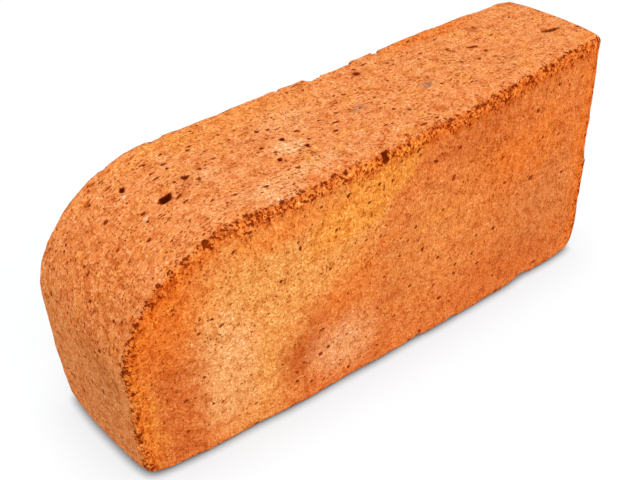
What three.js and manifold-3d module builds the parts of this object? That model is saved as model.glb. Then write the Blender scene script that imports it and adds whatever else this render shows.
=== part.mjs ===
// Solid clay brick with one bullnose corner, standing on its long edge (stretcher face).
// Millimetres. +X runs from the bullnose end to the square end, +Y from the front bed face
// to the back bed face, +Z up. The origin is on the resting face, under the middle of the brick.
import * as THREE from 'three';
import { mergeVertices } from 'three/addons/utils/BufferGeometryUtils.js';
import Module from 'manifold-3d';

const wasm = await Module();
wasm.setup();

// Size of the regular brick, before it warped and wore
const length = 228; // bullnose end to square end
const height = 101.5; // stretcher face to stretcher face
const squareEndThickness = 51; // bed face to bed face
const noseEndThickness = 56.5;

// The bullnose and the small corners of the side outline
const noseRadius = 51;
const headerFootRadius = 4.5;
const squareFootRadius = 6.5;
const squareTopRadius = 3.5;

// How the soft clay moved before it was fired
const headerLean = 9.3; // the header's foot stands back from the nose
const topFall = 8.5; // the top stretcher face falls towards the nose
const bedBowAtTop = 6.1; // the front bed face swells in the middle of its length
const bedBowAtFoot = 2.6;
const bedTwist = 1.8; // the front bed face leans one way at the nose and the other at the square end
const topHump = 0.4; // the top stretcher face rises between its middle and the square end
const topHumpMiddle = 165;
const topHumpReach = 35;
const swellHeight = 0.8; // low lumps in the other faces than the seats, from hollow to crest
const swellPitch = 19; // from a crest to the next hollow

// Worn arrises: rolled over, more in some places than in others
const topArrisRadius = 3.4; // front bed face to top stretcher face
const frontArrisRadius = 2.2; // the rest of the front bed face's arris
const backArrisRadius = 2.2;
const arrisWave = 0.6;
const arrisWaveLength = 41;

// Worn corners: how far each one is knocked back along X, Y and Z, and how far from it that reaches
const wornReach = 16;
const wornCorners = [
  { x: 0, depth: 0, z: 0, back: [1.3, 1.3, 1.3] }, // header, front, foot
  { x: 0, depth: 1, z: 0, back: [0.7, 0.7, 0.7] }, // header, back, foot
  { x: 1, depth: 0, z: 0, back: [1.0, 1.0, 1.0] }, // square end, front, foot
  { x: 1, depth: 1, z: 1, back: [0.2, 0.6, 2.0] }, // square end, back, top
];

// Pits left by gas and burnt straw. x, depth (0 front to 1 back) and z are places on the regular
// brick, turn is the slant of a pit's length in degrees.
const stretcherPits = [
  { x: 37.2, depth: 0.45, length: 6.0, width: 2.6, sink: 1.7, turn: -4 },
  { x: 30.3, depth: 0.724, length: 2.4, width: 2.2, sink: 1.1, turn: 0 },
  { x: 29.6, depth: 0.472, length: 2.2, width: 1.8, sink: 0.9, turn: 40 },
  { x: 47.4, depth: 0.519, length: 3.0, width: 1.8, sink: 1.0, turn: -20 },
  { x: 76.4, depth: 0.333, length: 2.4, width: 1.8, sink: 0.9, turn: 0 },
  { x: 84.9, depth: 0.492, length: 2.6, width: 1.8, sink: 0.9, turn: 0 },
  { x: 88.9, depth: 0.353, length: 2.2, width: 1.6, sink: 0.9, turn: 0 },
  { x: 116.4, depth: 0.243, length: 2.4, width: 1.8, sink: 0.9, turn: 0 },
  { x: 133.2, depth: 0.804, length: 3.4, width: 2.0, sink: 0.9, turn: -20 },
  { x: 181.8, depth: 0.571, length: 6.4, width: 1.4, sink: 0.8, turn: -18 },
  { x: 193.9, depth: 0.78, length: 3.6, width: 1.8, sink: 0.8, turn: -20 },
  { x: 214.9, depth: 0.344, length: 9.4, width: 1.8, sink: 1.0, turn: -16 },
];
const bedPits = [
  { x: 188.6, z: 52.6, length: 4.0, width: 2.6, sink: 1.0, turn: 0 },
  { x: 155.7, z: 30.6, length: 2.0, width: 1.7, sink: 0.9, turn: 0 },
  { x: 126.6, z: 47.6, length: 2.0, width: 1.6, sink: 0.9, turn: 0 },
  { x: 167.1, z: 37.6, length: 2.4, width: 1.6, sink: 0.8, turn: 0 },
  { x: 47.2, z: 21, length: 2.4, width: 1.5, sink: 0.8, turn: 30 },
  { x: 64.4, z: 12.8, length: 2.2, width: 1.5, sink: 0.8, turn: -30 },
  { x: 68.4, z: 78.8, length: 1.9, width: 1.5, sink: 0.8, turn: 60 },
  { x: 187.4, z: 83.8, length: 2.2, width: 1.6, sink: 0.8, turn: 30 },
];
const arrisHoles = [
  { x: 8.8, length: 6.5, width: 3.6, sink: 1.3 },
  { x: 33.4, length: 5.0, width: 3.2, sink: 1.2 },
  { x: 50, length: 3.4, width: 3.0, sink: 1.2 },
  { x: 63.4, length: 3.2, width: 2.6, sink: 1.2 },
  { x: 79.8, length: 2.8, width: 2.4, sink: 1.3 },
  { x: 88.7, length: 2.4, width: 3.2, sink: 1.4 },
  { x: 105.5, length: 2.6, width: 4.4, sink: 2.4 },
  { x: 116.1, length: 2.6, width: 3.0, sink: 1.3 },
  { x: 169.7, length: 2.4, width: 2.2, sink: 1.2 },
  { x: 173.1, length: 2.4, width: 2.2, sink: 1.2 },
  { x: 194.5, length: 2.6, width: 2.2, sink: 1.3 },
  { x: 211.1, length: 2.4, width: 3.4, sink: 1.3 },
];

// Chips broken out of the arris between the top and the back, out of the front foot and out of
// the upright arris of the square end
const backChips = [
  { x: 53, length: 6, width: 5, sink: 0.9 },
  { x: 92, length: 16, width: 5, sink: 0.7 },
  { x: 119.5, length: 8, width: 9, sink: 3.4 },
  { x: 129, length: 20, width: 8, sink: 2.3 },
  { x: 136.3, length: 5, width: 7, sink: 2.8 },
  { x: 150.8, length: 3.5, width: 6, sink: 1.6 },
  { x: 209, length: 18, width: 7, sink: 1.4 },
];
const footChips = [
  { x: 102, length: 5, width: 3, sink: 0.8 },
  { x: 127, length: 4, width: 4, sink: 1.4 },
  { x: 146.5, length: 7, width: 4, sink: 1.2 },
  { x: 191, length: 13, width: 5, sink: 1.9 },
];
const endChips = [
  { z: 54, length: 22, width: 5, sink: 1.1 },
  { z: 92, length: 14, width: 5, sink: 1.0 },
];

// Fineness of the skin
const outlineStep = 5.5;
const cornerSteps = 4;
const rollSteps = 4;
const depthSteps = 6;
const bedRings = [1, 0.82, 0.64, 0.46, 0.3, 0.14]; // from the middle line of a bed face out to its arris
const middlePitch = 9;
const pitSides = 12;

const clayColour = 0xe0894c;
const noseHeight = height - noseRadius; // where the header turns into the nose
const meanThickness = (noseEndThickness + squareEndThickness) / 2;

// The side outline, seen from the front: a rectangle with one large rounded corner.
function sideOutline() {
  const outline = new THREE.Shape();
  outline.moveTo(headerFootRadius, 0);
  outline.lineTo(length - squareFootRadius, 0);
  outline.absarc(length - squareFootRadius, squareFootRadius, squareFootRadius, -Math.PI / 2, 0);
  outline.lineTo(length, height - squareTopRadius);
  outline.absarc(length - squareTopRadius, height - squareTopRadius, squareTopRadius, 0, Math.PI / 2);
  outline.lineTo(noseRadius, height);
  outline.absarc(noseRadius, noseHeight, noseRadius, Math.PI / 2, Math.PI);
  outline.lineTo(0, headerFootRadius);
  outline.absarc(headerFootRadius, headerFootRadius, headerFootRadius, Math.PI, 1.5 * Math.PI);
  return outline;
}

// Points of the outline with their outward normals and their distance along it.
function outlineStations() {
  const points = sideOutline().curves
    .filter((curve) => curve.getLength() > 0.01)
    .flatMap((curve) => {
      const leastSteps = curve.isLineCurve ? 1 : cornerSteps;
      const steps = Math.max(leastSteps, Math.ceil(curve.getLength() / outlineStep));
      return curve.getSpacedPoints(steps).slice(0, -1);
    });
  let along = 0;
  return points.map((point, i) => {
    const before = points.at(i - 1);
    const after = points[(i + 1) % points.length];
    const tangent = after.clone().sub(before).normalize();
    along += i === 0 ? 0 : point.distanceTo(before);
    return { point, normal: new THREE.Vector2(tangent.y, -tangent.x), along };
  });
}

// The upper side of the outline at a place along the brick: its height and outward normal.
function upperSide(x) {
  const run = Math.min(x - noseRadius, 0);
  const rise = Math.sqrt(noseRadius ** 2 - run ** 2);
  return { z: noseHeight + rise, normal: new THREE.Vector3(run, 0, rise).normalize() };
}

// Height of the low lumps at a place on a face, given by two distances along it.
function swell(a, b) {
  const turn = Math.PI / swellPitch;
  const lengthways = Math.sin(turn * a + 1.3 * Math.sin(0.61 * turn * b));
  const crossways = Math.sin(0.83 * turn * b + 1.7 * Math.sin(0.43 * turn * a));
  return (swellHeight / 4) * (lengthways + crossways);
}

// Moves a point of the regular brick (depth from 0 at the front bed to 1 at the back bed)
// to where it is on the fired and worn one. The foot, the square end and the back bed face
// have no lumps, because the brick seats on them.
function fired(x, depth, z) {
  const u = x / length;
  const v = z / height;
  const thickness = THREE.MathUtils.lerp(noseEndThickness, squareEndThickness, u);
  const y = depth * thickness;
  const bow = THREE.MathUtils.lerp(bedBowAtFoot, bedBowAtTop, v) * 4 * u * (1 - u);
  const twist = bedTwist * (2 * v - 1) * (1 - 2 * u);
  const fromHump = THREE.MathUtils.clamp((x - topHumpMiddle) / topHumpReach, -1, 1);
  const hump = topHump * Math.cos((fromHump * Math.PI) / 2) ** 2;
  const point = new THREE.Vector3(
    x + headerLean * (1 - u) * (noseHeight / height - v) + (1 - u) * swell(z, y),
    (depth - 1) * (thickness + bow + twist) + (1 - depth) * swell(x, z),
    z - topFall * (1 - u) * v + v * (hump + swell(x, y)),
  );
  for (const corner of wornCorners) {
    const away = new THREE.Vector3(
      x - corner.x * length, (depth - corner.depth) * thickness, z - corner.z * height);
    const nearness = Math.max(0, 1 - away.length() / wornReach) ** 1.5;
    const inward = new THREE.Vector3(1 - 2 * corner.x, 1 - 2 * corner.depth, 1 - 2 * corner.z);
    point.addScaledVector(inward.multiply(new THREE.Vector3(...corner.back)), nearness);
  }
  point.z = Math.max(point.z, 0);
  return point;
}

// One closed ring: each station moved in from the outline and back from the front bed face.
function ring(stations, place) {
  return stations.map((station) => {
    const { inset, depth, towardsMiddle = 0 } = place(station);
    const flat = station.point.clone().addScaledVector(station.normal, -inset);
    flat.lerp(middleOf(station.point), towardsMiddle);
    return fired(flat.x, depth, flat.y);
  });
}

// The nearest of the places on a bed face's middle line that the rings inside its arris close on.
function middleOf(point) {
  const half = height / 2;
  const run = length - height;
  const pitches = Math.ceil(run / middlePitch);
  const share = THREE.MathUtils.clamp((point.x - half) / run, 0, 1);
  return new THREE.Vector2(half + (Math.round(share * pitches) / pitches) * run, half);
}

// The front arris is rolled over most where the brick was handled, along the top.
function frontRadius({ normal }) {
  const share = THREE.MathUtils.smoothstep(normal.y, 0.2, 0.95);
  return THREE.MathUtils.lerp(frontArrisRadius, topArrisRadius, share);
}

function arrisWear(radius, along) {
  const turn = (2 * Math.PI * along) / arrisWaveLength;
  return radius + arrisWave * 0.5 * (Math.sin(turn) + Math.sin(2.7 * turn + radius));
}

// The rings of the whole brick: front bed face, front arris, sides, back arris, back bed face.
function brickRings() {
  const stations = outlineStations();
  const front = (station) => arrisWear(frontRadius(station), station.along);
  const back = ({ along }) => arrisWear(backArrisRadius, along);
  const rings = bedRings.map((towardsMiddle) =>
    ring(stations, (station) => ({ inset: front(station), depth: 0, towardsMiddle })));
  for (let i = 0; i <= rollSteps; i++) {
    const turn = (i / rollSteps) * (Math.PI / 2);
    rings.push(ring(stations, (station) => ({
      inset: front(station) * (1 - Math.sin(turn)),
      depth: (front(station) * (1 - Math.cos(turn))) / meanThickness,
    })));
  }
  for (let i = 1; i < depthSteps; i++) {
    rings.push(ring(stations, (station) => ({
      inset: 0,
      depth: THREE.MathUtils.lerp(
        front(station) / meanThickness, 1 - back(station) / meanThickness, i / depthSteps),
    })));
  }
  for (let i = rollSteps; i >= 0; i--) {
    const turn = (i / rollSteps) * (Math.PI / 2);
    rings.push(ring(stations, (station) => ({
      inset: back(station) * (1 - Math.sin(turn)),
      depth: 1 - (back(station) * (1 - Math.cos(turn))) / meanThickness,
    })));
  }
  for (const towardsMiddle of bedRings.toReversed()) {
    rings.push(ring(stations, (station) => ({ inset: back(station), depth: 1, towardsMiddle })));
  }
  return rings;
}

// A skin over the rings, closed because the first and the last have shrunk to a line.
function loft(rings) {
  const count = rings[0].length;
  const positions = rings.flat().flatMap((point) => point.toArray());
  const index = [];
  for (let r = 0; r + 1 < rings.length; r++) {
    for (let i = 0; i < count; i++) {
      const next = (i + 1) % count;
      const a = r * count + i;
      const b = r * count + next;
      index.push(a, a + count, b, b, a + count, b + count);
    }
  }
  const geometry = new THREE.BufferGeometry();
  geometry.setAttribute('position', new THREE.Float32BufferAttribute(positions, 3));
  geometry.setIndex(index);
  return withoutFlatFaces(mergeVertices(geometry, 1e-4));
}

// Drops the faces that lost a side when their corners met.
function withoutFlatFaces(geometry) {
  const corners = [...geometry.index.array];
  const kept = corners.filter((_, i) => {
    const [a, b, c] = corners.slice(i - (i % 3), i - (i % 3) + 3);
    return a !== b && b !== c && c !== a;
  });
  geometry.setIndex(kept);
  return geometry;
}

// A pit is an ellipsoid that lies in the skin: its length along the brick, turned about the
// skin's normal, and its sink below the skin.
function pitCutter({ length: pitLength, width, sink, turn = 0 }, centre, normal) {
  const cutter = new THREE.SphereGeometry(1, pitSides, pitSides / 2);
  cutter.scale(pitLength / 2, width / 2, sink);
  cutter.rotateZ(THREE.MathUtils.degToRad(turn));
  const upright = new THREE.Quaternion().setFromUnitVectors(new THREE.Vector3(0, 0, 1), normal);
  cutter.applyQuaternion(upright);
  cutter.translate(centre.x, centre.y, centre.z);
  return cutter;
}

function allCutters() {
  const frontwards = new THREE.Vector3(0, -1, 0);
  const backwards = new THREE.Vector3(0, 1, 0);
  const arrisPlace = (x, depth, sideways, rolled) => {
    const { z, normal } = upperSide(x);
    const outward = normal.clone().add(sideways).normalize();
    return [fired(x, depth, z).addScaledVector(outward, -rolled), outward];
  };
  const rollDrop = (radius) => radius * (Math.SQRT2 - 1); // arris line down to the middle of its roll
  return [
    ...stretcherPits.map((pit) => {
      const { z, normal } = upperSide(pit.x);
      return pitCutter(pit, fired(pit.x, pit.depth, z), normal);
    }),
    ...bedPits.map((pit) => pitCutter(pit, fired(pit.x, 0, pit.z), frontwards)),
    ...arrisHoles.map((hole) =>
      pitCutter(hole, ...arrisPlace(hole.x, 0, frontwards, rollDrop(topArrisRadius)))),
    ...backChips.map((chip) =>
      pitCutter(chip, ...arrisPlace(chip.x, 1, backwards, rollDrop(backArrisRadius)))),
    ...footChips.map((chip) => {
      const outward = new THREE.Vector3(0, -1, -1).normalize();
      const centre = fired(chip.x, 0, 0).addScaledVector(outward, -rollDrop(frontArrisRadius));
      return pitCutter(chip, centre, outward);
    }),
    ...endChips.map((chip) => {
      const outward = new THREE.Vector3(1, -1, 0).normalize();
      const centre = fired(length, 0, chip.z).addScaledVector(outward, -rollDrop(frontArrisRadius));
      return pitCutter({ ...chip, turn: -45 }, centre, outward); // its length stands upright
    }),
  ];
}

function toSolid(geometry) {
  geometry.deleteAttribute('normal');
  geometry.deleteAttribute('uv');
  const merged = withoutFlatFaces(mergeVertices(geometry, 1e-4));
  return new wasm.Manifold(new wasm.Mesh({
    numProp: 3,
    vertProperties: new Float32Array(merged.attributes.position.array),
    triVerts: new Uint32Array(merged.index.array),
  }));
}

function toGeometry(solid) {
  const mesh = solid.getMesh();
  const geometry = new THREE.BufferGeometry();
  geometry.setAttribute('position', new THREE.Float32BufferAttribute(mesh.vertProperties, 3));
  geometry.setIndex([...mesh.triVerts]);
  geometry.computeVertexNormals();
  return geometry;
}

// Puts the origin on the resting face, under the middle of the brick.
function centredOnBase(geometry) {
  geometry.computeBoundingBox();
  const box = geometry.boundingBox;
  const middle = box.getCenter(new THREE.Vector3());
  return geometry.translate(-middle.x, -middle.y, -box.min.z);
}

function brickGeometry() {
  const body = toSolid(loft(brickRings()));
  const cut = allCutters().reduce((solid, cutter) => solid.subtract(toSolid(cutter)), body);
  return centredOnBase(toGeometry(cut));
}

const brick = new THREE.Mesh(
  brickGeometry(),
  new THREE.MeshStandardMaterial({ color: clayColour, roughness: 0.95, metalness: 0 }),
);
brick.name = 'bullnose_brick';

const part = new THREE.Group();
part.add(brick);
export default part;
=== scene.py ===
import math
from itertools import product
from types import SimpleNamespace

import bpy
import numpy as np
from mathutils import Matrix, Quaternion, Vector, kdtree


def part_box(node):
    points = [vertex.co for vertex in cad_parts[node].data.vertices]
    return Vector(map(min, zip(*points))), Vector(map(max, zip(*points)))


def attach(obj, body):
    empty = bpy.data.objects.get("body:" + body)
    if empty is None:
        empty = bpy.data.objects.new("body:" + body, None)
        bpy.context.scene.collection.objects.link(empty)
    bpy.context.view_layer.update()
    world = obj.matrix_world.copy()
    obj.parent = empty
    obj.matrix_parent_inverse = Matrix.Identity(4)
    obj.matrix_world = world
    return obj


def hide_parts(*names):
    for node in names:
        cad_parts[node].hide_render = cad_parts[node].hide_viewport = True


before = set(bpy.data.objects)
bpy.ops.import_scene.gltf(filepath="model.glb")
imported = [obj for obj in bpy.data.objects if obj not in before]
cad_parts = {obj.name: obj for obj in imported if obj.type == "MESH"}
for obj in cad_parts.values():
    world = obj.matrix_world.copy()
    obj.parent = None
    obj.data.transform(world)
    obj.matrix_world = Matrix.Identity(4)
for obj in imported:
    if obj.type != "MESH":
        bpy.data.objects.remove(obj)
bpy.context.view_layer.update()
scene = bpy.context.scene
mm = 0.001


class Wire:
    # one socket of a material's nodes; sums written in Python add their nodes
    def __init__(self, tree, socket=None):
        self.tree = tree
        self.socket = socket

    def node(self, kind, settings=None, values=None, output=0):
        # a new node: its settings first, then the values or links of its sockets
        made = self.tree.nodes.new(kind)
        for name, value in (settings or {}).items():
            setattr(made, name, value)
        pairs = values.items() if isinstance(values, dict) else enumerate(values or ())
        for name, value in pairs:
            if isinstance(value, Wire):
                self.tree.links.new(value.socket, made.inputs[name])
            else:
                made.inputs[name].default_value = value
        return Wire(self.tree, made.outputs[output] if made.outputs else None)

    def other(self, name):
        # another output of the same node
        return Wire(self.tree, self.socket.node.outputs[name])

    def calculate(self, operation, *values):
        sockets = [value.socket for value in values if isinstance(value, Wire)]
        if all(socket.type == "VALUE" for socket in sockets):
            return self.node("ShaderNodeMath", {"operation": operation}, values)
        triples = [value if isinstance(value, (Wire, tuple)) else (value,) * 3 for value in values]
        return self.node("ShaderNodeVectorMath", {"operation": operation}, triples)

    def __add__(self, other):
        return self.calculate("ADD", self, other)

    def __radd__(self, other):
        return self.calculate("ADD", other, self)

    def __sub__(self, other):
        return self.calculate("SUBTRACT", self, other)

    def __rsub__(self, other):
        return self.calculate("SUBTRACT", other, self)

    def __mul__(self, other):
        return self.calculate("MULTIPLY", self, other)

    def __rmul__(self, other):
        return self.calculate("MULTIPLY", other, self)

    def __truediv__(self, other):
        return self.calculate("DIVIDE", self, other)

    def most(self, other):
        return self.calculate("MAXIMUM", self, other)

    def flat(self, colour):
        # one colour all over, to lay others on
        made = self.node("ShaderNodeRGB")
        made.socket.default_value = colour
        return made

    def mix(self, colour, share):
        # this colour with a share of another laid over it
        values = {0: share, 6: self, 7: colour}
        return self.node("ShaderNodeMix", {"data_type": "RGBA"}, values, output=2)

    def tinted(self, tint, share):
        # this colour with a share of itself in another tint
        return self.mix(self * tint, share)

    def fade(self, low, high):
        # 0 at low and 1 at high, eased at both ends
        return self.node("ShaderNodeMapRange", {"interpolation_type": "SMOOTHSTEP"}, {
            "Value": self, "From Min": low, "From Max": high})

    def between(self, low, high):
        # stretches 0..1 to low..high
        return self * (high - low) + low

    def noise(self, size, detail, roughness=0.5):
        return self.node("ShaderNodeTexNoise", None, {
            "Vector": self, "Scale": 1 / size, "Detail": detail, "Roughness": roughness})

    def specks(self, size, density, room):
        # round spots, one at most in each cell of the given size; density is their share of the
        # cells, and room is how much of its cell the largest one takes
        cell = self.node("ShaderNodeTexVoronoi", None, {"Vector": self, "Scale": 1 / size})
        chance = self.node("ShaderNodeSeparateColor", None, {"Color": cell.other("Color")})
        return ((1 - chance / density) * room - cell).fade(0, 0.12)

    def veins(self, size, width):
        # thin winding lines
        rise = self.noise(size, 1.0) - 0.5
        return rise.node("ShaderNodeMath", {"operation": "ABSOLUTE"}, [rise]).fade(width, width * 0.3)


def paint(code):
    # a written screen colour as the light it sends back
    parts = [int(code[i:i + 2], 16) / 255 for i in (0, 2, 4)]
    sent = [part / 12.92 if part < 0.04 else ((part + 0.055) / 1.055) ** 2.4 for part in parts]
    return (*sent, 1.0)


def grey(level):
    return (level, level, level, 1.0)


def newMaterial(name):
    material = bpy.data.materials.new(name)
    material.use_nodes = True
    material.node_tree.nodes.clear()
    return material, Wire(material.node_tree)


view = {
    "location": (-0.22932, -0.25759, 0.28268),  # in metres
    "target": (-0.0105, 0.0051, 0.0422),
    "roll": 1.054,  # in degrees
    "lens": 61.68,  # in millimetres, on a sensor 36 wide
}

light = {
    "sky": 0.73,  # the same from every side
    "keyStrength": 1.68,
    "keyFrom": (-0.18, -0.64, 0.72),  # from the front and above, a little from the nose end
    "keySize": 40.0,  # degrees across, so its shadow is soft
}

floorLook = {
    "size": 6.0,  # in metres
    "bounce": 0.70,  # what the brick gets back from the floor
    "shade": (0.108, 0.12, 0.13, 1.0),  # how much of the lamps' light and shade on it shows
    "glow": 0.885,  # the rest of its white
    "paintedSoftShadeReach": 22.0,  # the painted soft shade round the foot, in millimetres
    "paintedSoftShadeShare": 0.25,
    "paintedContactShadeReach": 3.8,  # the painted dark line of shade where the brick stands
}


def addCamera():
    camera = bpy.data.objects.new("camera", bpy.data.cameras.new("camera"))
    camera.data.lens = view["lens"]
    camera.data.sensor_width = 36.0
    camera.data.clip_start = 0.01
    camera.location = view["location"]
    ahead = Vector(view["target"]) - Vector(view["location"])
    roll = Quaternion((0, 0, 1), math.radians(view["roll"]))
    camera.rotation_mode = "QUATERNION"
    camera.rotation_quaternion = ahead.to_track_quat("-Z", "Y") @ roll
    scene.collection.objects.link(camera)
    scene.camera = camera


def seenDirectly(start):
    # 1 for what the camera sees, straight or in a reflection
    straight = start.node("ShaderNodeLightPath", output="Is Camera Ray")
    return straight.most(straight.other("Is Glossy Ray")).most(straight.other("Is Transmission Ray"))


def addFloor():
    half = floorLook["size"] / 2
    corners = [(-half, -half, 0), (half, -half, 0), (half, half, 0), (-half, half, 0)]
    mesh = bpy.data.meshes.new("paleFloor")
    mesh.from_pydata(corners, [], [(0, 1, 2, 3)])
    material, start = newMaterial("paleFloor")
    plain = start.node("ShaderNodeBsdfDiffuse", None, {"Color": grey(floorLook["bounce"])})
    shaded = start.node("ShaderNodeBsdfDiffuse", None, {"Color": floorLook["shade"]})
    # seen directly, the floor is a glow darkened near the brick by ambient occlusion: painted shade, soft
    # round the foot and a thin dark line where it stands
    soft, close = [
        start.node("ShaderNodeAmbientOcclusion", {"samples": 6}, {
            "Color": grey(1.0), "Distance": floorLook[name] * mm})
        for name in ("paintedSoftShadeReach", "paintedContactShadeReach")]
    paintedLight = soft.mix(grey(1.0), 1 - floorLook["paintedSoftShadeShare"]) * close.fade(0.0, 1.0)
    glow = start.node("ShaderNodeEmission", None, {"Color": paintedLight, "Strength": floorLook["glow"]})
    bright = start.node("ShaderNodeAddShader", None, [shaded, glow])
    surface = start.node("ShaderNodeMixShader", None, [seenDirectly(start), plain, bright])
    start.node("ShaderNodeOutputMaterial", None, {"Surface": surface})
    mesh.materials.append(material)
    floor = bpy.data.objects.new("paleFloor", mesh)
    scene.collection.objects.link(floor)


def addLight():
    world = bpy.data.worlds.new("softRoom")
    world.use_nodes = True
    world.node_tree.nodes.clear()
    start = Wire(world.node_tree)
    strength = seenDirectly(start).between(light["sky"], 1.0)
    sky = start.node("ShaderNodeBackground", None, {"Color": grey(1.0), "Strength": strength})
    start.node("ShaderNodeOutputWorld", None, {"Surface": sky})
    scene.world = world
    key = bpy.data.objects.new("key", bpy.data.lights.new("key", "SUN"))
    key.data.energy = light["keyStrength"]
    key.data.angle = math.radians(light["keySize"])
    key.rotation_mode = "QUATERNION"
    key.rotation_quaternion = Vector(light["keyFrom"]).to_track_quat("Z", "Y")
    scene.collection.objects.link(key)


addCamera()
addFloor()
addLight()
scene.view_settings.view_transform = "Standard"
print("camera, floor and light are in place")


# The brick in millimetres: first the regular one, then how its soft clay moved before it was
# fired, which tells where on it each point of the solid's skin lies
brick = {
    "length": 228.0,
    "height": 101.5,
    "noseRadius": 51.0,
    "noseEndThickness": 56.5,
    "squareEndThickness": 51.0,
    "headerLean": 9.3,  # the header's foot stands back from the nose
    "topFall": 8.5,  # the stretcher falls towards the nose
    "bedBowAtTop": 6.1,  # the front bed swells in the middle of its length
    "bedBowAtFoot": 2.6,
    "bedTwist": 1.8,
    "topHump": 0.4,
    "topHumpMiddle": 165.0,
    "topHumpReach": 35.0,
    "swellHeight": 0.8,  # low lumps, from hollow to crest
    "swellPitch": 19.0,  # from a crest to the next hollow
    "voxel": 0.5,  # fineness of the skin that the fine relief is pressed into
    "triangles": 192000,
}
noseHeight = brick["height"] - brick["noseRadius"]
meanThickness = (brick["noseEndThickness"] + brick["squareEndThickness"]) / 2

# Larger pits on the front bed: place along and above the foot, length, width, sink, slant, darkness, which
# is painted shade in the pit.
# The places were read off before the last change to the solid, which moved them all by the shift.
bedPitShift = (0.6, -0.4)
bedPits = [
    (67, 82, 1.6, 1.2, 0.7, 60, 1), (68, 79, 1.6, 1.3, 0.1, 60, 1), (60, 68, 1.7, 1.3, 0.7, 30, 1),
    (28, 68, 1.4, 1, 0.6, 0, 1), (32, 66, 1.6, 1, 0.6, 20, 1), (40, 68, 1.3, 1, 0.6, 0, 1),
    (27, 62, 1.2, 0.9, 0.5, 0, 1), (83, 79, 1.7, 1.1, 0.6, 40, 1), (88, 91, 2.2, 1.4, 0.8, 70, 1),
    (81, 62, 1.8, 1.3, 0.6, 60, 1), (77, 62, 1.3, 1, 0.5, 60, 1), (103.5, 66, 1.7, 1.1, 0.6, 45, 1),
    (62, 57, 1.3, 1, 0.5, 0, 1), (54, 55, 1.5, 0.9, 0.5, 45, 1), (126, 48, 1.9, 1.6, 0.1, 0, 1),
    (123, 53, 2.2, 1.8, 0.5, 0, 0.6), (155, 31, 1.9, 1.7, 0.1, 0, 1), (166.5, 38, 2.4, 1.6, 0.1, 0, 0.8),
    (133, 26, 1.8, 1.2, 0.6, 30, 1), (46, 22, 2.6, 1.5, 0.1, 30, 0.8), (68, 22, 1.4, 1.3, 0.6, 0, 1),
    (64, 14, 2, 1.5, 0.1, 30, 1), (63, 10, 1.2, 1, 0.5, 0, 1), (68, 14, 1.2, 0.9, 0.5, 0, 1),
    (77, 7, 1.7, 1.2, 0.7, 20, 1), (85, 10, 1.2, 1, 0.5, 0, 1), (87, 7, 1.2, 0.9, 0.5, 0, 1),
    (103, 10, 1.4, 1, 0.6, 0, 1), (103, 16, 1.5, 1, 0.4, 0, 0.6), (128, 14, 1.4, 1.1, 0.5, 0, 0.8),
    (141, 88, 2.2, 1.7, 0.6, 0, 0.8), (187, 84, 2.2, 1.5, 0.1, 30, 0.8), (215, 88, 2.6, 1.5, 0.6, 0, 0.8),
    (29, 25, 1.4, 1.1, 0.5, 0, 1), (26, 15, 1.3, 1.1, 0.5, 0, 1), (42, 90, 1.8, 1.3, 0.7, 30, 1),
    (26, 86, 1.5, 1, 0.6, 60, 1), (102, 90, 1.8, 1.4, 0.7, 0, 1), (96, 97, 1.7, 1.4, 0.8, 0, 1),
    (97, 91, 1.4, 1, 0.5, 0, 1), (120, 95, 1.4, 1.2, 0.6, 0, 1), (121, 93, 1.6, 1.2, 0.7, 30, 1),
    (157, 97, 1.6, 1.2, 0.6, 0, 1), (159, 96, 1.6, 1.2, 0.6, 0, 1), (87, 98, 2, 1.6, 0.8, 0, 1),
    (2, 15, 3, 1.6, 0.8, 60, 0.7), (165, 57, 1.2, 0.8, 0.4, 0, 1), (88, 25, 1.2, 0.9, 0.4, 60, 1),
    (188, 53, 4.4, 2.8, 0.1, 0, 0.62), (104.5, 98.5, 3.4, 3.6, 0.6, 0, 1), (127.5, 4, 2.4, 1.8, 0.6, 0, 1),
    (198, 5, 4.5, 1.8, 0.6, 0, 0.7),
]
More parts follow.
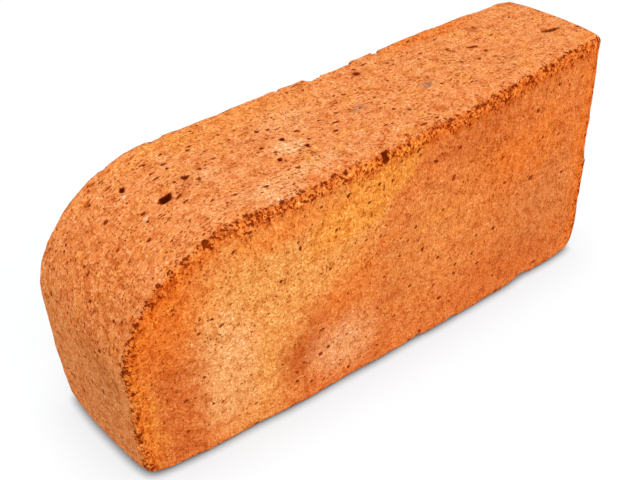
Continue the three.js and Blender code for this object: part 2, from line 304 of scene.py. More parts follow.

# Larger pits on the skin: distance up from the header's foot and over the nose, depth behind the
# front bed (less than 0 is on the bed), length, width, sink, slant, darkness, which is painted shade in
# the pit (less than 0 is a pale grain)
skinPits = [
    (116.8, 24.2, 5.8, 2.6, 0.1, -2, 1.3), (120.2, 22.3, 4.6, 1.6, 0.4, 24, 0.7),
    (109.3, 38.9, 2.6, 1.9, 0.1, 0, 1.2), (107.9, 36.6, 2, 1.8, 0.3, 0, -0.9),
    (108.3, 25.4, 2.4, 1.5, 0.1, 10, 0.8), (107.3, 23.5, 1.9, 1.5, 0.2, 0, -0.8),
    (107.1, 21.9, 1.5, 1.1, 0.5, 0, 1), (127, 27.9, 3.2, 1.7, 0.1, -10, 1.1),
    (123.1, 28.7, 1.6, 1.2, 0.5, 0, 1), (126, 24.4, 1.9, 1.5, 0.3, 0, 0.6),
    (124.4, 26, 1.7, 1.2, 0.4, 30, 0.6), (123, 23.4, 1.5, 1.1, 0.3, 0, 0.6),
    (125.5, 36.2, 1.6, 1.2, 0.6, 20, 1), (129.1, 9.6, 1.6, 1.2, 0.5, 10, 0.8),
    (133.2, 12, 2, 1.3, 0.5, 0, 1), (130.5, 16.7, 2.2, 1.2, 0.3, 0, 0.5),
    (135.3, 24.5, 1.7, 1, 0.4, 0, 0.6), (137.9, 42.1, 2.2, 1.2, 0.5, 10, 1),
    (138.1, 35.9, 2.6, 0.8, 0.3, 0, 0.8), (140.8, 36.9, 1.6, 1, 0.5, 0, 1),
    (128, 43.6, 2, 1.1, 0.5, 0, 1), (121, 43, 2.4, 0.8, 0.4, 10, 0.9),
    (155.5, 26.5, 2.2, 1.3, 0.1, -20, 1.1), (156, 17.9, 2.2, 1.5, 0.1, 0, 1.2),
    (164.5, 26.5, 2.4, 1.7, 0.1, 0, 1.2), (168.5, 19, 2.2, 1.5, 0.1, 0, 1.2),
    (182, 20.7, 2.2, 1.4, 0.4, -14, 1), (185.3, 24.6, 3.4, 1.2, 0.5, -8, 1.1),
    (150, 42, 2, 1.1, 0.5, -10, 1), (196.5, 12.3, 2.4, 1.5, 0.1, 0, 1.1),
    (199, 11.6, 2, 1.2, 0.5, 0, 1), (207, 22.5, 1.7, 1.1, 0.5, 0, 1), (213, 43.4, 3.4, 1.9, 0.1, -16, 1),
    (214.3, 46.7, 1.9, 1.4, 0.5, 0, 1), (218.6, 33.5, 1.8, 1.1, 0.4, 0, 0.9),
    (235, 18.6, 1.6, 1, 0.5, 0, 0.9), (241, 14.5, 1.7, 1.1, 0.5, 0, 0.9),
    (252, 34.6, 2.8, 1.2, 0.4, -10, 0.9), (261.4, 30.7, 6.2, 1.3, 0.1, -18, 1),
    (265, 14.8, 2.6, 1.6, 0.2, 0, 0.5), (273.5, 42, 3.4, 1.6, 0.1, -20, 0.6),
    (294.2, 18.5, 9.6, 1.6, 0.1, -16, 0.8), (73.3, 10.3, 1.8, 1.3, 0.5, 0, 0.9),
    (80, 43, 2, 1.2, 0.4, -60, 0.7), (82, 2, 2.4, 1.3, 0.1, 10, -0.3), (185, -1.2, 2.4, 4.2, 0.1, 0, 1.1),
]

# Pits in the front arris and just below it, written in the same way. They are pressed at this
# share of the length and width given here.
arrisPitShare = 0.75
arrisPits = [
    (55.5, 2, 2, 2, 0.5, 0, 0.8), (58, 1.5, 1.7, 1.6, 0.5, 0, 0.9), (70.1, 1.4, 1.9, 1.7, 0.5, 0, 0.8),
    (77.6, 1.8, 1.7, 1.5, 0.5, 0, 0.9), (82.4, 2.4, 4.4, 2.6, 0.1, 10, 0.7),
    (110.8, 1.2, 1.8, 1.8, 0.4, 0, 0.9), (113.4, 1, 2.8, 2, 0.1, 0, 0.9),
    (116.9, 1.2, 1.6, 1.4, 0.4, 0, 0.9), (129.6, 0.5, 2.4, 2.4, 0.1, 0, 0.9),
    (134.3, 0.4, 1.7, 2.2, 0.5, 0, 1), (143, 0.2, 2.6, 2.4, 0.1, 0, 0.8),
    (159.4, -0.4, 2.4, 2.4, 0.1, 0, 0.9), (168.2, -0.8, 1.9, 2.6, 0.1, 0, 1),
    (176.6, -1, 1.9, 1.9, 0.5, 0, 1), (178.4, -4.2, 1.6, 1.8, 0.4, 0, 1),
    (176.3, -4.9, 1.5, 1.5, 0.4, 0, 0.9), (191.4, -1, 1.6, 2, 0.4, 0, 0.9),
    (195.7, -2, 1.9, 2.4, 0.1, 0, 1), (200.6, -6, 1.7, 1.6, 0.4, 0, 1),
    (239.6, -0.8, 1.9, 2.2, 0.4, 0, 0.9), (249.3, -0.8, 2, 2, 0.1, 0, 1), (252.7, -0.8, 2, 2, 0.1, 0, 1),
    (274.1, -0.6, 2.2, 1.9, 0.1, 0, 0.9), (278.6, -0.8, 1.8, 1.7, 0.4, 0, 0.8),
    (290.6, -0.6, 2, 2.6, 0.1, 0, 1.1), (300.6, -0.6, 1.7, 1.6, 0.4, 0, 0.9),
]

# Hollows finer than the pits above, one at most in each cell: the cell's size and the depth in
# millimetres, how many of the cells hold one, and the largest radius as a share of the cell
smallPits = {"cell": 2.6, "sink": 0.4, "onBed": 0.05, "onSkin": 0.13, "nearArris": 0.1, "reach": 0.30}
# For crumbs and bites, shade is how dark the painted shade inside them gets
crumbs = {"cell": 2.2, "sink": 0.6, "share": 1.3, "reach": 0.50, "shade": 0.45, "warp": 1.2}
bites = {"cell": 4.6, "sink": 0.8, "share": 0.8, "reach": 0.45, "shade": 0.50, "warp": 2.0}

fineSkin = {
    "arrisReach": 4.0,  # how far from its line an arris crumbles, in millimetres
    "lineReach": 2.2,
    "backWear": 0.6,  # the back arris is chewed less than the front one
    "turnReach": 1.6,  # how far from the arris the skin has turned the corner
    "grain": ((0.10, 6.5, 7), (0.04, 2.4, 8), (0.025, 1.2, 9)),  # height, size and seed
    "crumbleLumps": (0.35, 8, 10),
    "crumbleGrain": (0.2, 2.6, 11),
    "wrinkles": (0.14, 2.6, 12),
    "wrinkleMiddle": 80,  # over the nose, as far up from the header's foot
    "wrinkleReach": 32,
}
farOff = 1e6  # keeps a pit from landing on the wrong face


def latticePick(cell):
    # the same scrambled whole number for the same cell every time
    mixed = cell[:, 0] * 73856093 ^ cell[:, 1] * 19349663 ^ cell[:, 2] * 83492791
    return (mixed ^ mixed >> 13) * 1274126177 >> 7 & 4095


def smoothNoise(points, size, seed):
    # gradient noise between about -1 and 1, with lumps of the given size
    draw = np.random.default_rng(seed)
    slopes = draw.normal(size=(256, 3))
    slopes /= np.linalg.norm(slopes, axis=1)[:, None]
    cell = np.floor(points / size).astype(np.int64)
    local = points / size - cell
    ease = local ** 3 * (local * (local * 6 - 15) + 10)
    total = np.zeros(len(points))
    for corner in product((0, 1), repeat=3):
        pick = latticePick(cell + corner)
        weight = np.prod(np.where(corner, ease, 1 - ease), axis=1)
        total += weight * np.einsum("ij,ij->i", slopes[pick & 255], local - corner)
    return total * 1.6


def cellPits(points, kind, seed, density, side=None):
    # how deep each point lies in seeded round hollows, 0 to 1, and how far towards the given side
    # of its hollow; density is the share of cells that hold a hollow
    draw = np.random.default_rng(seed)
    middles = draw.random((4096, 3))
    chances = draw.random(4096)
    cell = np.floor(points / kind["cell"]).astype(np.int64)
    local = points / kind["cell"] - cell
    deepest, lean = np.zeros(len(points)), np.zeros(len(points))
    for step in product((-1, 0, 1), repeat=3):
        pick = latticePick(cell + step)
        offset = local - step - middles[pick]
        away = np.linalg.norm(offset, axis=1)
        reach = kind["reach"] * np.clip(1 - chances[pick] / np.maximum(density, 1e-3), 0, 1) ** 0.5
        depth = (reach - away) / kind["reach"]
        if side is not None:
            towards = np.einsum("ij,ij->i", offset, side) / np.maximum(reach, 1e-3)
            lean = np.where(depth > deepest, towards, lean)
        deepest = np.maximum(deepest, depth)
    return deepest, lean


def swell(a, b):
    # the low lumps of a face, by two distances along it
    turn = math.pi / brick["swellPitch"]
    lengthways = np.sin(turn * a + 1.3 * np.sin(0.61 * turn * b))
    crossways = np.sin(0.83 * turn * b + 1.7 * np.sin(0.43 * turn * a))
    return brick["swellHeight"] / 4 * (lengthways + crossways)


def firedPlaces(x, depth, z):
    # where a point of the regular brick lies after the clay moved; depth is 0 at the front bed and
    # 1 at the back bed
    u, v = x / brick["length"], z / brick["height"]
    thickness = brick["noseEndThickness"] * (1 - u) + brick["squareEndThickness"] * u
    y = depth * thickness
    bow = (brick["bedBowAtFoot"] * (1 - v) + brick["bedBowAtTop"] * v) * 4 * u * (1 - u)
    twist = brick["bedTwist"] * (2 * v - 1) * (1 - 2 * u)
    fromHump = np.clip((x - brick["topHumpMiddle"]) / brick["topHumpReach"], -1, 1)
    hump = brick["topHump"] * np.cos(fromHump * math.pi / 2) ** 2
    lean = brick["headerLean"] * (1 - u) * (noseHeight / brick["height"] - v)
    return (
        x + lean + (1 - u) * swell(z, y),
        (depth - 1) * (thickness + bow + twist) + (1 - depth) * swell(x, z),
        z - brick["topFall"] * (1 - u) * v + v * (hump + swell(x, y)),
    )


def regularPlaces(points):
    # where each point was on the regular brick, found by steps
    high = np.array(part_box("bullnose_brick")[1]) / mm
    goal = [points[:, 0] - high[0] + brick["length"], points[:, 1] - high[1], points[:, 2]]
    x, depth, z = goal[0], 1 + goal[1] / meanThickness, goal[2]
    for _ in range(8):
        now = firedPlaces(x, depth, z)
        x = x + goal[0] - now[0]
        depth = depth + (goal[1] - now[1]) / meanThickness
        z = z + goal[2] - now[2]
    return x, depth * meanThickness, z


def surveyBrick(points):
    # where each point lies on the skin, how far from the rim and the two beds, and which way is out
    x, front, z = regularPlaces(points)
    radius = brick["noseRadius"]
    overNose = np.hypot(np.minimum(x - radius, 0), np.maximum(z - noseHeight, 0))
    sides = np.stack([radius - overNose, brick["length"] - x, z], 1)
    side = sides.argmin(1)  # 0 is the header, nose and stretcher, 1 the square end, 2 the foot
    rim = sides.min(1)
    turn = np.arctan2(np.maximum(z - noseHeight, 0), np.maximum(radius - x, 0))
    overTop = np.minimum(z, noseHeight) + radius * turn + np.maximum(x - radius, 0)
    downEnd = noseHeight + radius * math.pi / 2 + brick["length"] - radius + brick["height"] - z
    overCorner = np.stack([-np.cos(turn), 0 * turn, np.sin(turn)], 1)
    endOrFoot = np.where(side[:, None] == 1, (1.0, 0.0, 0.0), (0.0, 0.0, -1.0))
    back = meanThickness - front
    return {
        "x": x, "z": z, "front": front, "back": back, "toBed": np.minimum(front, back), "rim": rim,
        "along": np.choose(side, (overTop, downEnd, -x)),
        "out": np.where(side[:, None] == 0, overCorner, endOrFoot),
        "wear": np.choose(side, (1.0, 0.7, 0.4)),  # the foot is chewed least
        "overFront": (rim - front) / np.choose(side, (1.0, 0.7, 0.3)),
        "overBack": rim - back,
    }


def bakedMesh(piece):
    graph = bpy.context.evaluated_depsgraph_get()
    mesh = bpy.data.meshes.new_from_object(piece.evaluated_get(graph))
    bpy.data.objects.remove(piece)
    return mesh


def remeshed(source):
    # the solid's skin as an even mesh
    piece = bpy.data.objects.new("even", source.data.copy())
    scene.collection.objects.link(piece)
    even = piece.modifiers.new("even", "REMESH")
    even.mode = "VOXEL"
    even.voxel_size = brick["voxel"] * mm
    return bakedMesh(piece)


def thinned(mesh, plain):
    # fewer faces where the skin is plain, and all of them where it is marked or broken
    piece = bpy.data.objects.new("thinner", mesh)
    scene.collection.objects.link(piece)
    piece.vertex_groups.new(name="plain").add(np.flatnonzero(plain).tolist(), 1.0, "REPLACE")
    fewer = piece.modifiers.new("fewer", "DECIMATE")
    fewer.ratio = brick["triangles"] / (2 * len(mesh.polygons))
    fewer.use_collapse_triangulate = True
    fewer.vertex_group = "plain"
    return bakedMesh(piece)


def readArray(mesh, kind):
    values = np.empty(len(mesh.vertices) * 3)
    mesh.vertices.foreach_get(kind, values)
    return values.reshape(-1, 3)


def addAttribute(mesh, name, *columns):
    layer = mesh.attributes.new(name, "FLOAT_VECTOR", "POINT")
    layer.data.foreach_set("vector", np.stack(columns, 1).astype(float).ravel())


def skinAround(points, survey):
    # the skin as the pits need it: a smooth way out at each point, and a quick way to its neighbours
    tree = kdtree.KDTree(len(points))
    for i, point in enumerate(points.tolist()):
        tree.insert(point, i)
    tree.balance()
    onFront = survey["front"] < survey["back"]
    bedOut = np.where(onFront[:, None], (0.0, -1.0, 0.0), (0.0, 1.0, 0.0))
    bedShare, outShare = [np.exp(-(away / fineSkin["turnReach"]) ** 2)[:, None]
                          for away in (survey["toBed"], survey["rim"])]
    normal = bedOut * bedShare + survey["out"] * outShare
    return {
        "points": points, "tree": tree, "normal": normal / np.linalg.norm(normal, axis=1)[:, None],
        "awayFromBed": (survey["out"] - bedOut) / math.sqrt(2), "ripple": smoothNoise(points, 1.3, 21),
        "atArris": np.exp(-((survey["toBed"] + survey["rim"]) / fineSkin["arrisReach"]) ** 2),
        "wear": survey["wear"] * np.where(onFront, 1.0, fineSkin["backWear"]),
    }


def pressPit(marks, skin, centre, pit):
    # an oval hollow round one point of the skin, uneven at its edge, with painted shade in it; a pale one
    # is a grain in the clay
    length, width, sink, slant, darkness = pit
    normal = skin["normal"][centre]
    along = np.array((1.0, 0.0, 0.01))
    along -= normal * along.dot(normal)
    along /= np.linalg.norm(along)
    across = np.cross(normal, along)
    angle = math.radians(slant)
    lengthways = along * math.cos(angle) + across * math.sin(angle)
    sideways = across * math.cos(angle) - along * math.sin(angle)
    middle = skin["points"][centre]
    near = [found[1] for found in skin["tree"].find_range(middle, max(length, width) * 0.8)]
    offset = skin["points"][near] - middle
    spread = (offset @ lengthways / length) ** 2 + (offset @ sideways / width) ** 2
    inside = np.clip(1 - 4 * spread * (1 + 0.7 * skin["ripple"][near]), 0, 1)
    marks["hollow"][near] = np.maximum(marks["hollow"][near], sink * inside ** 0.6)
    lean = offset @ skin["awayFromBed"][centre] / width
    # near an arris the painted shade is lighter on the pit's bed side
    shaded = 1 - skin["atArris"][centre] * np.clip(0.55 - 1.6 * lean, 0, 0.85)
    tone = "paintedHollowShade" if darkness > 0 else "pale"
    marks[tone][near] = np.maximum(marks[tone][near], abs(darkness) * shaded * inside ** 0.4)


def pressLargePits(marks, skin, survey):
    offBed = np.where(survey["front"] < 2.5, 0, farOff)
    shiftX, shiftZ = bedPitShift
    for x, z, *pit in bedPits:
        away = (survey["x"] - x - shiftX) ** 2 + (survey["z"] - z - shiftZ) ** 2 + offBed
        pressPit(marks, skin, int(away.argmin()), pit)
    onSkin = (survey["wear"] == 1.0) & (np.minimum(survey["rim"], survey["front"]) < 3.0)
    offSkin = np.where(onSkin, 0, farOff)
    atArris = [(along, depth, length * arrisPitShare, width * arrisPitShare, *rest)
               for along, depth, length, width, *rest in arrisPits]
    for along, depth, *pit in skinPits + atArris:
        away = (survey["along"] - along) ** 2 + (survey["front"] - survey["rim"] - depth) ** 2 + offSkin
        pressPit(marks, skin, int(away.argmin()), pit)


def pressSmallPits(marks, points, survey, near, uneven, warp):
    isBed = survey["toBed"] < fineSkin["turnReach"]
    drawn = (points + warp) * np.where(isBed[:, None], (0.8, 1.0, 1.0), (0.55, 1.0, 1.0))
    usual = np.where(isBed, smallPits["onBed"], smallPits["onSkin"]) * uneven
    small, _ = cellPits(drawn, smallPits, 35, usual + smallPits["nearArris"] * near)
    marks["hollow"] = np.maximum(marks["hollow"], smallPits["sink"] * small)
    # painted shade in the small hollows
    marks["paintedHollowShade"] = np.maximum(marks["paintedHollowShade"], 0.8 * small ** 0.5)


def breakArrises(marks, skin, kind, seed, nearness, uneven, warp):
    # crumbs or bites out of the arrises, with painted shade in them, darkest on their shaded side away
    # from the bed
    often = np.clip(kind["share"] * nearness * uneven, 0, 1)
    depth, lean = cellPits(skin["points"] + kind["warp"] * warp, kind, seed, often, skin["awayFromBed"])
    marks["hollow"] += kind["sink"] * depth
    shadow = np.clip(2.4 * depth + 0.7 * lean * (depth > 0) - 0.15, 0, 1)
    marks["paintedHollowShade"] = np.maximum(marks["paintedHollowShade"], kind["shade"] * shadow)
    marks["raw"] = np.maximum(marks["raw"], np.clip(4 * depth, 0, 1))


def grainOfSkin(points, survey, near):
    # low grain everywhere, crumbling arrises and the wrinkles over the nose
    grain = sum(height * smoothNoise(points, size, seed) for height, size, seed in fineSkin["grain"])
    height, size, seed = fineSkin["crumbleLumps"]
    crumble = height * np.clip(smoothNoise(points, size, seed), 0, None)
    height, size, seed = fineSkin["crumbleGrain"]
    crumble += height * np.abs(smoothNoise(points, size, seed))
    fromNose = np.abs(survey["along"] - fineSkin["wrinkleMiddle"]) / fineSkin["wrinkleReach"]
    nose = np.clip(1 - fromNose, 0, 1) * (1 - near)
    height, size, seed = fineSkin["wrinkles"]
    wrinkle = nose * height * np.abs(smoothNoise(points * (1.0, 0.45, 1.0), size, seed))
    return grain - near * crumble - wrinkle


def sculptBrick(mesh):
    # presses the fine relief into the skin; returns a way to find its points again, what was marked
    # on them, and which of them are plain
    points, bumpy = readArray(mesh, "co") / mm, readArray(mesh, "normal")
    survey = surveyBrick(points)
    skin = skinAround(points, survey)
    marks = {name: np.zeros(len(points)) for name in ("hollow", "paintedHollowShade", "raw", "pale")}
    pressLargePits(marks, skin, survey)

    arris = np.abs(survey["rim"] - survey["toBed"])
    near, atLine = [skin["wear"] * np.exp(-(arris / fineSkin[name]) ** 2)
                    for name in ("arrisReach", "lineReach")]
    # no hollow is quite round, and they crowd in some places
    warp = np.stack([smoothNoise(points, 1.8, seed) for seed in (31, 32, 33)], 1) * 0.5
    uneven = 1 + 0.9 * smoothNoise(points, 24, 34)
    pressSmallPits(marks, points, survey, near, uneven, warp)
    breakArrises(marks, skin, crumbs, 36, near, uneven, warp)
    breakArrises(marks, skin, bites, 37, atLine, uneven, warp)

    push = grainOfSkin(points, survey, near) - marks["hollow"]
    settled = points + bumpy * push[:, None]
    standing = points[:, 2] < 0.05  # the foot stays flat
    settled[:, 2] = np.where(standing, 0, np.maximum(settled[:, 2], 0))
    mesh.vertices.foreach_set("co", (settled * mm).ravel())
    mesh.update()
    plain = (marks["paintedHollowShade"] + marks["pale"] < 0.05) & (atLine < 0.35)
    return skin["tree"], marks, plain


def addBrick():
    mesh = remeshed(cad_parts["bullnose_brick"])
    print("skin of", len(mesh.vertices), "points")
    tree, marks, plain = sculptBrick(mesh)
    print(len(plain) - plain.sum(), "points are marked or broken")
    mesh = thinned(mesh, plain)
    print("thinned to", len(mesh.polygons), "faces")
    points = readArray(mesh, "co") / mm
    survey = surveyBrick(points)
    nearest = [tree.find(point)[1] for point in points.tolist()]
    bed = np.clip(0.5 + (survey["rim"] - survey["toBed"]) / 2.5, 0, 1)
    addAttribute(mesh, "place", survey["x"], survey["z"], survey["front"])
    addAttribute(mesh, "skin", survey["along"], survey["front"], survey["rim"])
    addAttribute(mesh, "edge", survey["overFront"], survey["overBack"], bed)
    addAttribute(mesh, "marks", *[marks[name][nearest] for name in ("paintedHollowShade", "raw", "pale")])
    mesh.name = "firedBrick"
    mesh.materials.clear()
    mesh.materials.append(firedClay())
    mesh.shade_smooth()
    piece = bpy.data.objects.new("firedBrick", mesh)
    scene.collection.objects.link(piece)
    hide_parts("bullnose_brick")
    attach(piece, "root")


clay = {
    "terracotta": "E47E3C",
    "rose": "EE9354",
    "rust": "C4561E",
    "orange": "EE7824",
    "amber": "F2953C",
    "straw": "F09E50",
    "cream": "F8B67A",
    "pale": "FCD8A4",
    "dun": "CA7C44",
    "slate": "966A56",
    # the browns of the painted shade in hollows, pits and chips
    "shadeUmber": "7C2604",
    "paintedDeepShade": "3A0A00",
    "roughness": 0.93,
    "bumpStrength": 0.6,
    "bumpHeight": 0.25,  # in millimetres
}

# Tints of the grain: what the colour under a grain is multiplied by
tints = {
    "cloudDark": (0.84, 0.70, 0.58),
    "cloudLight": (1.05, 1.14, 1.26),
    "fleckDark": (0.86, 0.70, 0.60),
    "fleckLight": (1.06, 1.20, 1.36),
    "sandDark": (0.74, 0.56, 0.44),
    "sandLight": (1.06, 1.22, 1.40),
    "grainDark": (0.38, 0.18, 0.10),
    "grainLight": (1.08, 1.40, 1.85),
    "strokeDark": (0.42, 0.20, 0.11),
    "wrinkle": (0.70, 0.50, 0.38),
    "arrisStroke": (0.62, 0.32, 0.18),
    "arrisLine": (1.0, 0.92, 0.86),
    # painted highlight on the crumbs along the front arris
    "crumbHighlight": (1.12, 1.42, 1.80),
}

# Patches of the front bed's colour: name, place along and above the foot, reach each way, slant,
# softness of the edge and strength
bedPatches = [
    ("straw", 46, 50, 21, 52, 0, 0.5, 0.95), ("straw", 74, 76, 30, 26, 15, 0.25, 0.95),
    ("amber", 98, 87, 28, 12, 28, 0.3, 0.9), ("cream", 37, 38, 11, 26, 0, 0.7, 0.45),
    ("orange", 13, 76, 17, 26, -12, 0.6, 0.65), ("amber", 3, 28, 6, 34, 0, 0.5, 0.8),
    ("rust", 17, 30, 10, 26, 0, 0.8, 0.45), ("rust", 66, 25, 7, 12, -14, 0.6, 0.75),
    ("cream", 87, 22, 13, 12, 10, 0.7, 0.55), ("orange", 92, 52, 12, 16, -20, 0.5, 0.35),
    ("orange", 178, 70, 24, 12, 0, 0.9, 0.45), ("rust", 112, 38, 9, 10, 0, 0.9, 0.4),
    ("rust", 156, 90, 22, 10, 0, 0.9, 0.35), ("rust", 178, 14, 30, 11, 0, 0.9, 0.35),
    ("dun", 196, 36, 22, 16, 0, 0.9, 0.35), ("orange", 62, 91, 20, 6, 3, 0.8, 0.6),
    ("straw", 128, 48, 30, 26, 0, 0.9, 0.3), ("amber", 134, 59, 9, 2.2, 10, 0.8, 0.55),
    ("orange", 224, 50, 6, 50, 0, 0.6, 0.5),
]

# Patches of the skin's colour: name, distance up the header and over the nose, depth behind the
# front bed, reach each way, slant, softness and strength
skinPatches = [
    ("dun", 42, 17, 14, 11, 0, 0.8, 0.45), ("terracotta", 24, 30, 26, 30, 0, 0.9, 0.1),
    ("dun", 18, 24, 20, 26, 0, 0.8, 0.15), ("cream", 162.5, 22, 5.6, 4.2, 0, 0.6, 0.9),
    ("cream", 134, 25, 4, 3, 20, 0.8, 0.45), ("cream", 153, 9, 25, 3, 2, 0.8, 0.45),
    ("cream", 172, 36, 9, 6, 0, 0.8, 0.4), ("rust", 124.5, 25, 3.5, 2.5, 30, 0.7, 0.35),
    ("slate", 197, 26, 3, 1.4, 0, 0.9, 0.55), ("slate", 226.5, 21.7, 2.4, 1.3, 0, 0.9, 0.8),
    ("dun", 265, 14.8, 2.4, 1.4, 0, 0.8, 0.5), ("rust", 213, 44, 3, 2.6, 0, 0.8, 0.6),
    ("rust", 272.5, 42, 3.4, 1.8, -20, 0.8, 0.6), ("dun", 294, 19, 6.4, 1.7, -14, 0.8, 0.6),
    ("orange", 255, 50, 22, 4, 0, 0.6, 0.6), ("cream", 143, 3.5, 7, 2.4, 0, 0.8, 0.6),
    ("orange", 80, 22, 26, 24, 0, 0.8, 0.25), ("amber", 150, 48, 40, 8, 0, 0.8, 0.35),
]


def patch(where, middle, reach, slant, soft):
    # 1 inside an oval, fading out over its rim
    turned = where.node("ShaderNodeMapping", {"vector_type": "TEXTURE"}, {
        "Vector": where, "Location": middle, "Rotation": (0, 0, math.radians(slant)), "Scale": reach})
    away = turned.node("ShaderNodeVectorMath", {"operation": "LENGTH"}, [turned], output="Value")
    return away.fade(1 + soft, 1 - soft)


def patched(colour, where, patches, depthReach):
    # colour patches laid over one another, each going so far into the brick
    for name, first, second, reachFirst, reachSecond, slant, soft, strength in patches:
        reach = (reachFirst, reachSecond, depthReach)
        shape = patch(where, (first, second, 0), reach, slant, soft)
        colour = colour.mix(paint(clay[name]), shape * strength)
    return colour


def clayPlaces(start):
    # what the layers of the material share: places on the brick, how far past each arris and onto
    # its bed a point lies, the marks pressed into the skin with their painted shade, and noises; all sizes
    # are in millimetres
    place, skin, edge, marks = [
        start.node("ShaderNodeAttribute", {"attribute_name": name}, output="Vector")
        for name in ("place", "skin", "edge", "marks")]
    up, edge, marks = [start.node("ShaderNodeSeparateXYZ", None, [of]) for of in (skin, edge, marks)]
    solid = start.node("ShaderNodeTexCoord", output="Object") * (1 / mm)
    broad, narrow, fine = [solid.noise(size, 1.0).other("Color") - 0.5 for size in (13, 3.5, 1.3)]
    jitter = fine * 1.3
    return SimpleNamespace(
        start=start, solid=solid, place=place, skin=skin, upTheFace=up,
        overFront=edge, overBack=edge.other("Y"), bed=edge.other("Z"),
        paintedHollowShade=marks, raw=marks.other("Y"), pale=marks.other("Z"),
        drift=broad * 11 + narrow * 5, jitter=jitter, mottle=solid.noise(7, 3.0, 0.6),
        fray=solid.noise(4, 3.0, 0.7).between(-7, 7), crowding=solid.noise(10, 2.0, 0.7) * 0.4 - 0.2,
        laid=skin * (0.8, 1.0, 1.0),  # stretched along the brick, as the clay was drawn
        cut=place * (1.0, 0.75, 1.0),  # stretched upwards, as the bed was cut
    )


def skinColour(at):
    # the header, nose and stretcher
    colour = at.start.flat(paint(clay["rose"]))
    colour = colour.mix(paint(clay["amber"]), at.mottle.fade(0.50, 0.72) * 0.5)
    colour = colour.mix(paint(clay["terracotta"]), at.mottle.fade(0.50, 0.30) * 0.6)
    return patched(colour, at.skin + at.drift * 0.35 + at.jitter * 3, skinPatches, 12)


def bedColour(at):
    colour = at.start.flat(paint(clay["terracotta"]))
    colour = colour.mix(paint(clay["rust"]), at.mottle.fade(0.52, 0.30) * 0.4)
    colour = colour.mix(paint(clay["orange"]), at.mottle.fade(0.52, 0.70) * 0.35)
    return patched(colour, at.place + at.drift, bedPatches, 25)


def wornArrises(at, colour):
    # the arrises, orange on the bed side and streaked
    front = (6.5 + at.fray - at.overFront).fade(-2.5, 2.5)
    front = front * (at.overFront + at.fray * 0.2).fade(-1.6, -0.4)
    back = (3.5 + at.fray * 0.6 - at.overBack).fade(-2.0, 2.0)
    back = back * (at.overBack + at.fray * 0.2).fade(-1.8, -0.6)
    worn = front.most(back)
    colour = colour.mix(paint(clay["orange"]), (worn * 0.6).most(at.raw * 0.7))
    strokes = (at.place * (1.0, 0.4, 1.0) + at.jitter * 0.6).noise(1.5, 2.0, 0.8)
    return worn, colour.tinted(tints["arrisStroke"], strokes.fade(0.50, 0.40) * worn * 0.8)


def grained(at, colour):
    # clouds, flecks and sand in the clay, dark and light grains, and the wrinkles over the nose;
    # returns the colour and how high they stand
    where = at.laid.mix(at.cut, at.bed) + at.jitter * 0.3
    cloud = where.noise(3.2, 2.0, 0.6)
    fleck = where.noise(1.0, 1.0, 0.9)
    sand = (at.solid + at.jitter * 0.2).noise(0.55, 1.0, 1.0)
    grain = fleck + at.crowding
    drawnOut = (at.laid * (0.45, 1.0, 1.0)).mix(at.cut * (1.0, 0.45, 1.0), at.bed)
    stroke = drawnOut.noise(1.1, 1.0, 0.9) + at.crowding
    rare = (1 - at.bed).between(0.7, 0.8) * at.upTheFace.fade(20, 70).between(0.6, 1.0)
    wrinkled = patch(at.skin + at.drift * 0.5, (74, 24, 0), (24, 22, 12), 0, 0.6) * (1 - at.bed)
    wrinkles = (at.skin * (1.0, 0.7, 1.0) + at.jitter).veins(4.5, 0.05) * wrinkled
    colour = colour.tinted(tints["cloudDark"], cloud.fade(0.50, 0.36))
    colour = colour.tinted(tints["cloudLight"], cloud.fade(0.50, 0.64))
    colour = colour.tinted(tints["fleckDark"], fleck.fade(0.48, 0.34) * 0.9)
    colour = colour.tinted(tints["fleckLight"], fleck.fade(0.52, 0.66) * 0.9)
    colour = colour.tinted(tints["sandDark"], sand.fade(0.47, 0.34) * 0.9)
    colour = colour.tinted(tints["sandLight"], sand.fade(0.53, 0.66) * 0.9)
    colour = colour.tinted(tints["grainDark"], grain.fade(0.34, 0.29) * rare)
    colour = colour.tinted(tints["strokeDark"], stroke.fade(0.33, 0.29) * rare)
    colour = colour.tinted(tints["grainLight"], grain.fade(0.60, 0.70))
    colour = colour.tinted(tints["wrinkle"], wrinkles * 0.8)
    return colour, sand * 0.4 + fleck * 0.6 - wrinkles * 0.5


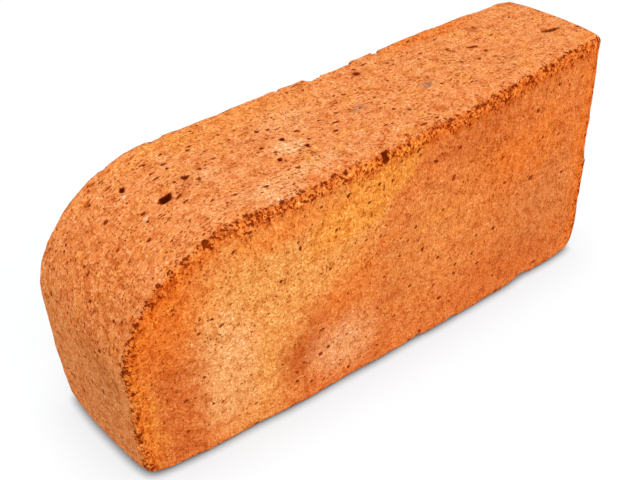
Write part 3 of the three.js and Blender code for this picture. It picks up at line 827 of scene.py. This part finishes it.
def pricked(at, colour, worn):
    # pinholes and scores all over, and the crumbs along the front arris, all with painted shade; returns
    # the colour and height
    crowd = (1 - at.bed).between(0.12, 0.28) + worn * 0.2
    pricks = (at.solid * (0.7, 1.0, 1.0) + at.jitter * 0.8).specks(2.5, crowd, 0.38)
    pinholes = (at.solid * (0.8, 1.0, 1.0) + at.jitter * 0.4).specks(1.4, crowd * 2.0, 0.36)
    scores = (at.skin * (0.3, 1.0, 1.0) + at.jitter * 0.5).specks(2.0, 0.10, 0.33) * (1 - at.bed)
    drips = (at.place * (1.0, 0.3, 1.0) + at.jitter * 0.5).specks(1.8, 0.28, 0.32)
    drips = drips * patch(at.place + at.drift, (72, 86, 0), (52, 24, 12), 8, 0.7) * at.bed
    onStretcher = at.upTheFace.fade(100, 135)
    line = (onStretcher * 3.4 + 2.6 + at.fray * 0.9 - at.overFront).fade(-2.4, 2.4)
    line = line * (at.overFront + at.fray * 0.2).fade(-2.2, -1.2)
    bite = (at.solid + at.jitter).noise(1.5, 1.0, 0.9) + at.crowding * 0.8 + onStretcher * 0.035 - 0.005
    bite = bite + (1 - line) * 0.2
    # painted shade in the chips of the arris line, and a painted highlight between them
    chipShade = bite.fade(0.475, 0.435)
    paintedLight = (bite - (1 - line) * 0.45).fade(0.55, 0.63) * line
    colour = colour.tinted(tints["arrisLine"], line * onStretcher)
    colour = colour.tinted(tints["crumbHighlight"], paintedLight)
    # painted shade in the pricks, pinholes, scores, drips and chips
    paintedShadeInPricks = pricks.most(pinholes * 0.8).most(scores).most(chipShade).most(drips)
    colour = colour.mix(paint(clay["shadeUmber"]), paintedShadeInPricks * 0.92)
    return colour, bite * line * 4 - paintedShadeInPricks * 0.8


def marked(at, colour):
    # the pale grains pressed into the skin, and painted shade in its hollows, nearly black in the deepest
    colour = colour.mix(paint(clay["pale"]), at.pale * 0.9)
    colour = colour.mix(paint(clay["shadeUmber"]), at.paintedHollowShade.fade(0.20, 0.70) * 0.95)
    return colour.mix(paint(clay["paintedDeepShade"]), at.paintedHollowShade.fade(0.80, 1.20) * 0.9)


def firedClay():
    material, start = newMaterial("firedClay")
    at = clayPlaces(start)
    worn, colour = wornArrises(at, skinColour(at).mix(bedColour(at), at.bed))
    colour, grainHeight = grained(at, colour)
    colour, prickHeight = pricked(at, colour, worn)
    bump = start.node("ShaderNodeBump", None, {
        "Strength": clay["bumpStrength"], "Distance": clay["bumpHeight"] * mm,
        "Height": grainHeight + prickHeight})
    surface = start.node("ShaderNodeBsdfPrincipled", None, {
        "Base Color": marked(at, colour), "Roughness": clay["roughness"], "Specular IOR Level": 0.0,
        "Normal": bump})
    start.node("ShaderNodeOutputMaterial", None, {"Surface": surface})
    return material


addBrick()
print("the brick is in place")
